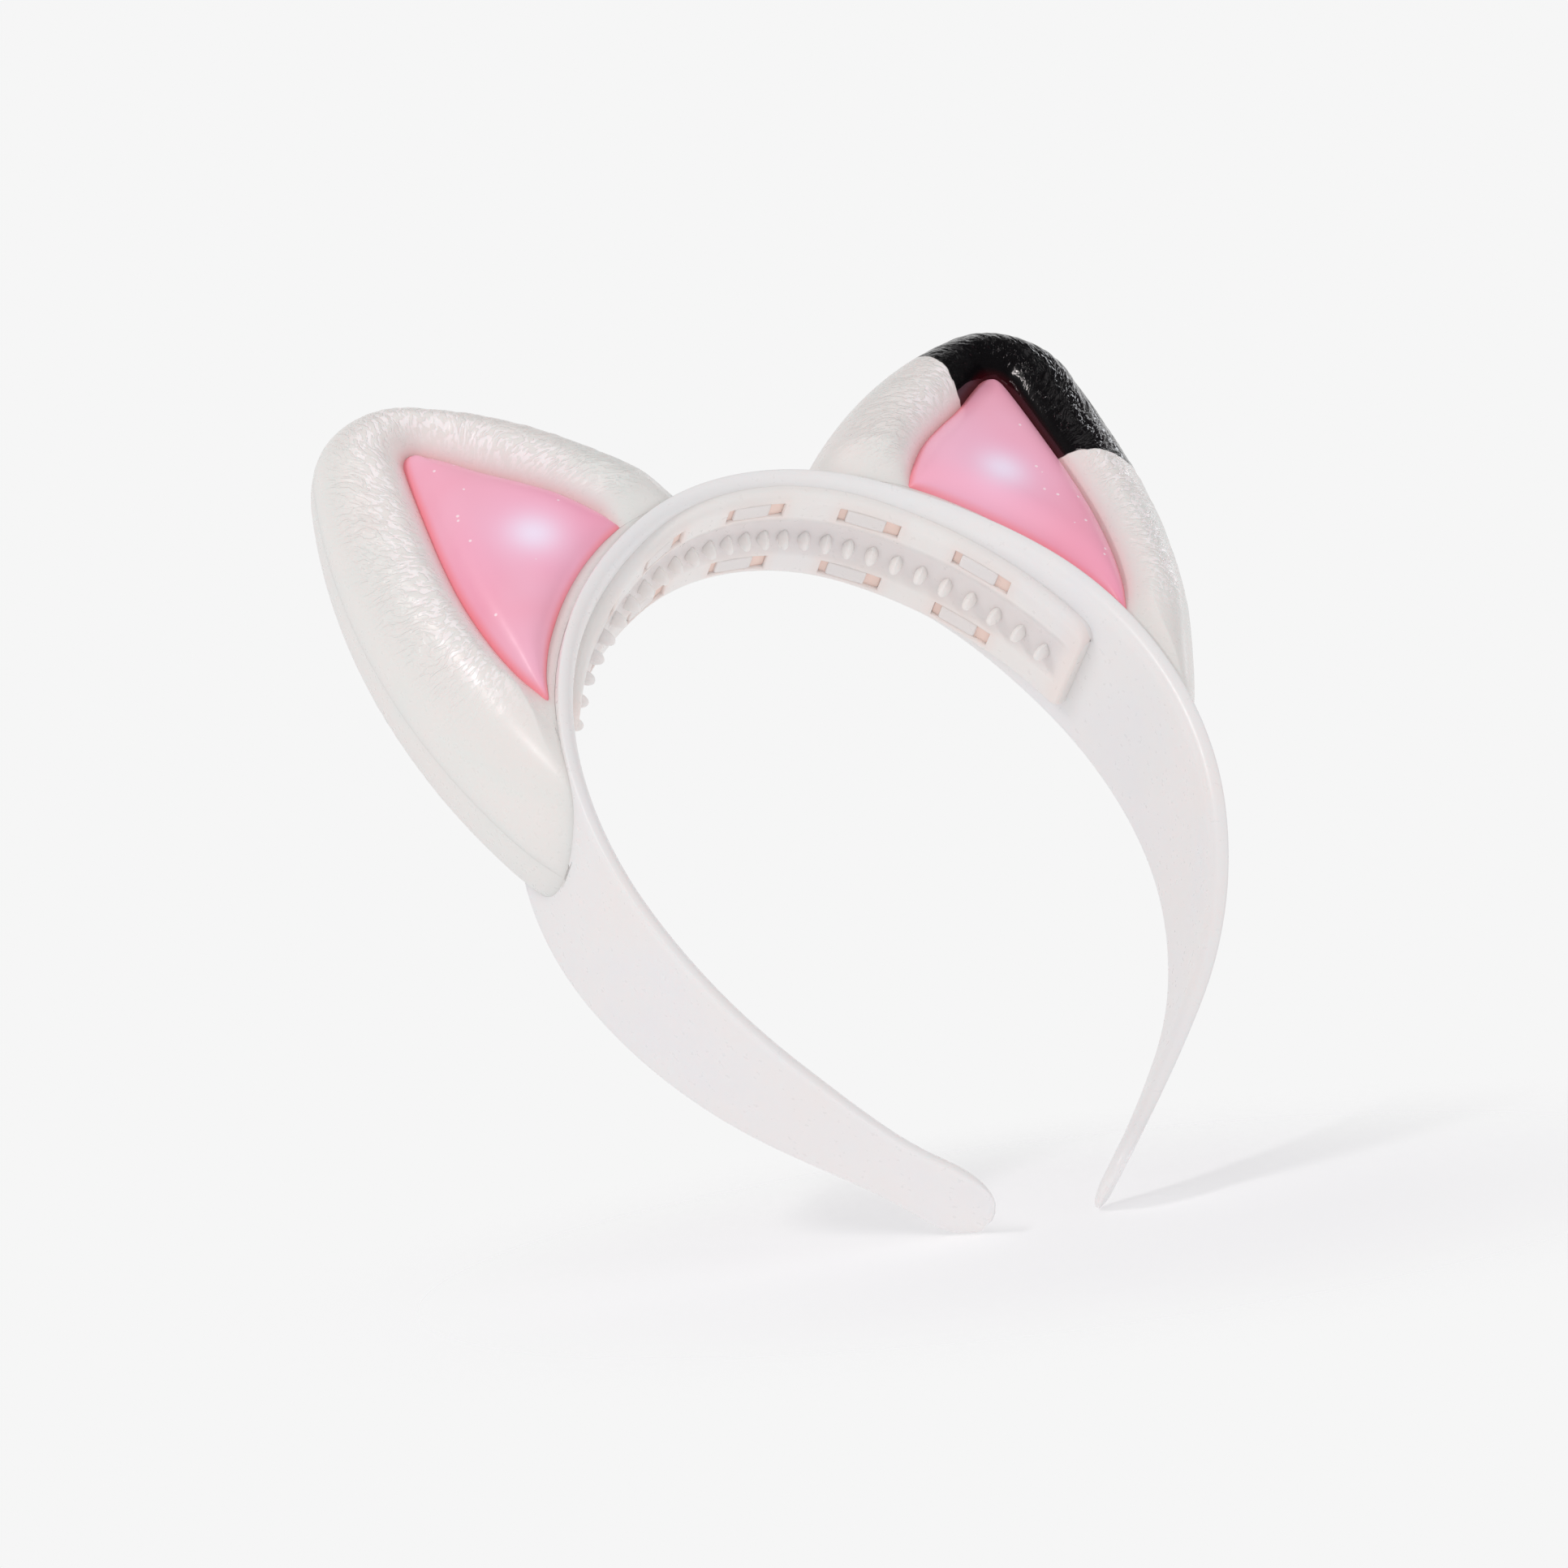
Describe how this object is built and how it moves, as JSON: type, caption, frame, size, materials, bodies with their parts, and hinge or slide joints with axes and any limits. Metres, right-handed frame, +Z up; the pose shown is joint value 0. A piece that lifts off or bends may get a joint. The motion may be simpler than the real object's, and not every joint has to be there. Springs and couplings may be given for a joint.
{
  "type": "light-up cat ear headband",
  "caption": "Stiff moulded headband with a comb cover inside and hollow light-up cat ears, a push-button and a battery bay.",
  "frame": {"origin": "middle of the comb cover's inner face at the crown, where the band rests on the top of the head", "axes": "+Z up through the crown as worn, -Y forwards (the ears face -Y), +X to the wearer's left; X = 0 is the mirror plane of the outer shape"},
  "size_m": [0.1594, 0.0364, 0.1875],
  "materials": {
    "pearl_plastic": "satin pearl, faint pink and blue mottling",
    "ear_pearl": "satin pearl with moulded fur strokes; one ear tip painted gloss black",
    "pink_lens": "gloss translucent pink",
    "led_epoxy": "clear dome",
    "circuit_board": "green solder mask",
    "nickel": "bright nickel plate",
    "steel_screw": "zinc-plated",
    "cell_steel": "polished steel can",
    "chip_black": "moulded epoxy",
    "switch_cream": "moulded nylon",
    "button_rubber": "matt silicone",
    "wire_red": "soft PVC",
    "wire_black": "soft PVC",
    "wire_yellow": "soft PVC"
  },
  "bodies": {
    "root": {"headband": "pearl_plastic", "comb_cover": "pearl_plastic", "left_ear_front_shell": "ear_pearl", "left_ear_back_shell": "ear_pearl", "right_ear_front_shell": "ear_pearl", "right_ear_back_shell": "ear_pearl", "left_ear_lens": "pink_lens", "right_ear_lens": "pink_lens", "left_led": "led_epoxy", "right_led": "led_epoxy", "left_led_board": "circuit_board", "right_led_board": "circuit_board", "battery_holder": "pearl_plastic", "battery_positive_contact": "nickel", "battery_negative_contact": "nickel", "control_board": "circuit_board", "control_chip": "chip_black", "control_resistors": "chip_black", "switch_body": "chip_black", "band_screws": "steel_screw", "shell_screws": "steel_screw", "led_board_screws": "steel_screw", "control_board_screws": "steel_screw", "button_cell_1": "cell_steel", "button_cell_2": "cell_steel", "button_cell_3": "cell_steel", "battery_positive_wire": "wire_red", "battery_negative_wire": "wire_black", "left_led_anode_wire": "wire_yellow", "left_led_cathode_wire": "wire_black", "right_led_anode_wire": "wire_yellow", "right_led_cathode_wire": "wire_black"},
    "battery_door": {"battery_door": "pearl_plastic", "battery_door_screw": "steel_screw"},
    "power_button": {"power_button": "button_rubber", "switch_plunger": "switch_cream"}
  },
  "joints": [
    {"name": "power_button_press", "type": "slide", "parent": "root", "child": "power_button", "axis": [0, -1, 0], "range_m": [0, 0.0006], "stiffness_N_per_m": 900},
    {"name": "battery_door_lift", "type": "slide", "parent": "root", "child": "battery_door", "axis": [0, 1, 0], "range_m": [0, 0.025]}
  ]
}
